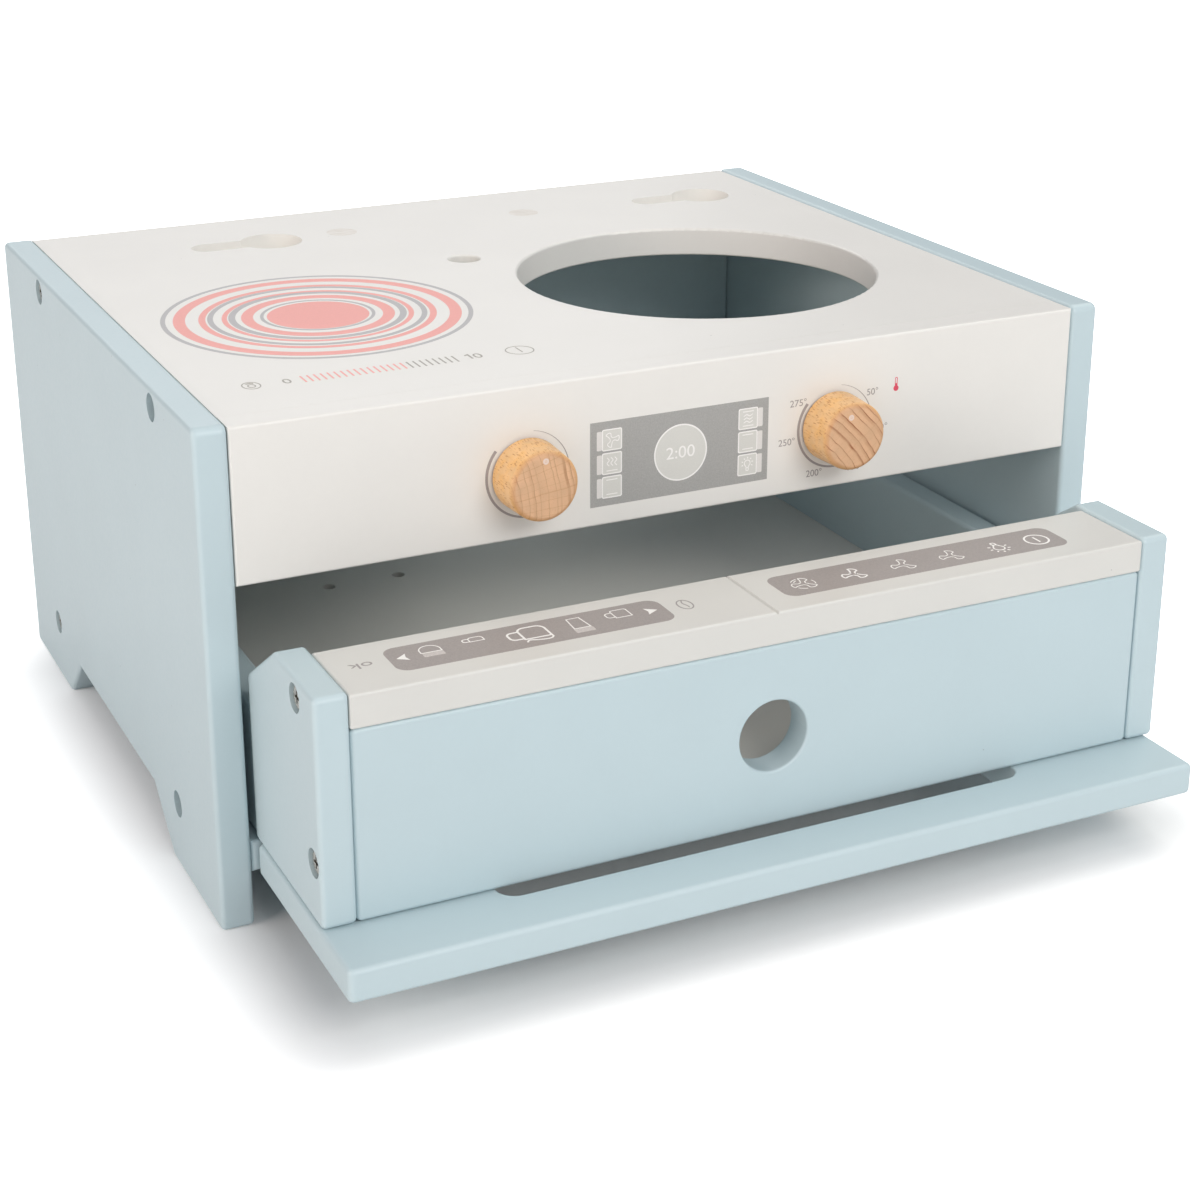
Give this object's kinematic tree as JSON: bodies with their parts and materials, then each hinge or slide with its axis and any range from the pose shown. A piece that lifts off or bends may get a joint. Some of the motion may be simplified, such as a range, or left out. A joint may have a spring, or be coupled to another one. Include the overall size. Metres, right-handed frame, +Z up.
{
  "type": "toy oven",
  "caption": "Wooden toy oven with hob and sink top, two knobs, drop-down oven door and a slide-out hood unit stowed as a drawer.",
  "frame": {"origin": "on the floor under the centre of the overall box, from the open door's free edge to the rear of the side panels", "axes": "+X to the right, +Y to the back, +Z up; the front with the knobs faces -Y"},
  "size_m": [0.36, 0.3788, 0.185],
  "materials": {
    "blue_paint": "satin light-blue lacquer on board",
    "white_paint": "satin off-white lacquer on board",
    "grey_paint": "satin light-grey lacquer on board",
    "plug_wood": "wood plug under thin lacquer",
    "beech": "clear lacquered beech",
    "nickel_steel": "nickel plated",
    "brass": "plain brass"
  },
  "bodies": {
    "case": {"left_side_panel": "blue_paint", "right_side_panel": "blue_paint", "top_panel": "white_paint", "top_plugs": "plug_wood", "fascia_panel": "white_paint", "back_panel": "blue_paint", "bottom_panel": "blue_paint", "case_screws": "nickel_steel", "case_dowels": "beech", "oven_door": "blue_paint", "hinge_door_leaves": "brass", "hinge_case_leaves": "brass", "hinge_pins": "nickel_steel", "hinge_screws": "brass"},
    "left_knob": {"left_knob": "beech", "left_knob_bolt": "nickel_steel", "left_knob_washer": "nickel_steel"},
    "right_knob": {"right_knob": "beech", "right_knob_bolt": "nickel_steel", "right_knob_washer": "nickel_steel"},
    "hood": {"hood_left_cheek": "blue_paint", "hood_right_cheek": "blue_paint", "hood_front_board": "blue_paint", "hood_control_board": "grey_paint", "hood_left_rail": "blue_paint", "hood_right_rail": "blue_paint", "hood_floor": "grey_paint", "hood_screws": "nickel_steel", "hood_dowels": "beech"}
  },
  "joints": [
    {"name": "hood_slide", "type": "slide", "parent": "case", "child": "hood", "axis": [0, 1, 0], "range_m": [-0.026, 0.0683]},
    {"name": "left_knob_turn", "type": "hinge", "parent": "case", "child": "left_knob", "pos_m": [-0.062, -0.09555, 0.1523], "axis": [0, -1, 0], "continuous": true},
    {"name": "right_knob_turn", "type": "hinge", "parent": "case", "child": "right_knob", "pos_m": [0.062, -0.09555, 0.1523], "axis": [0, -1, 0], "continuous": true}
  ]
}
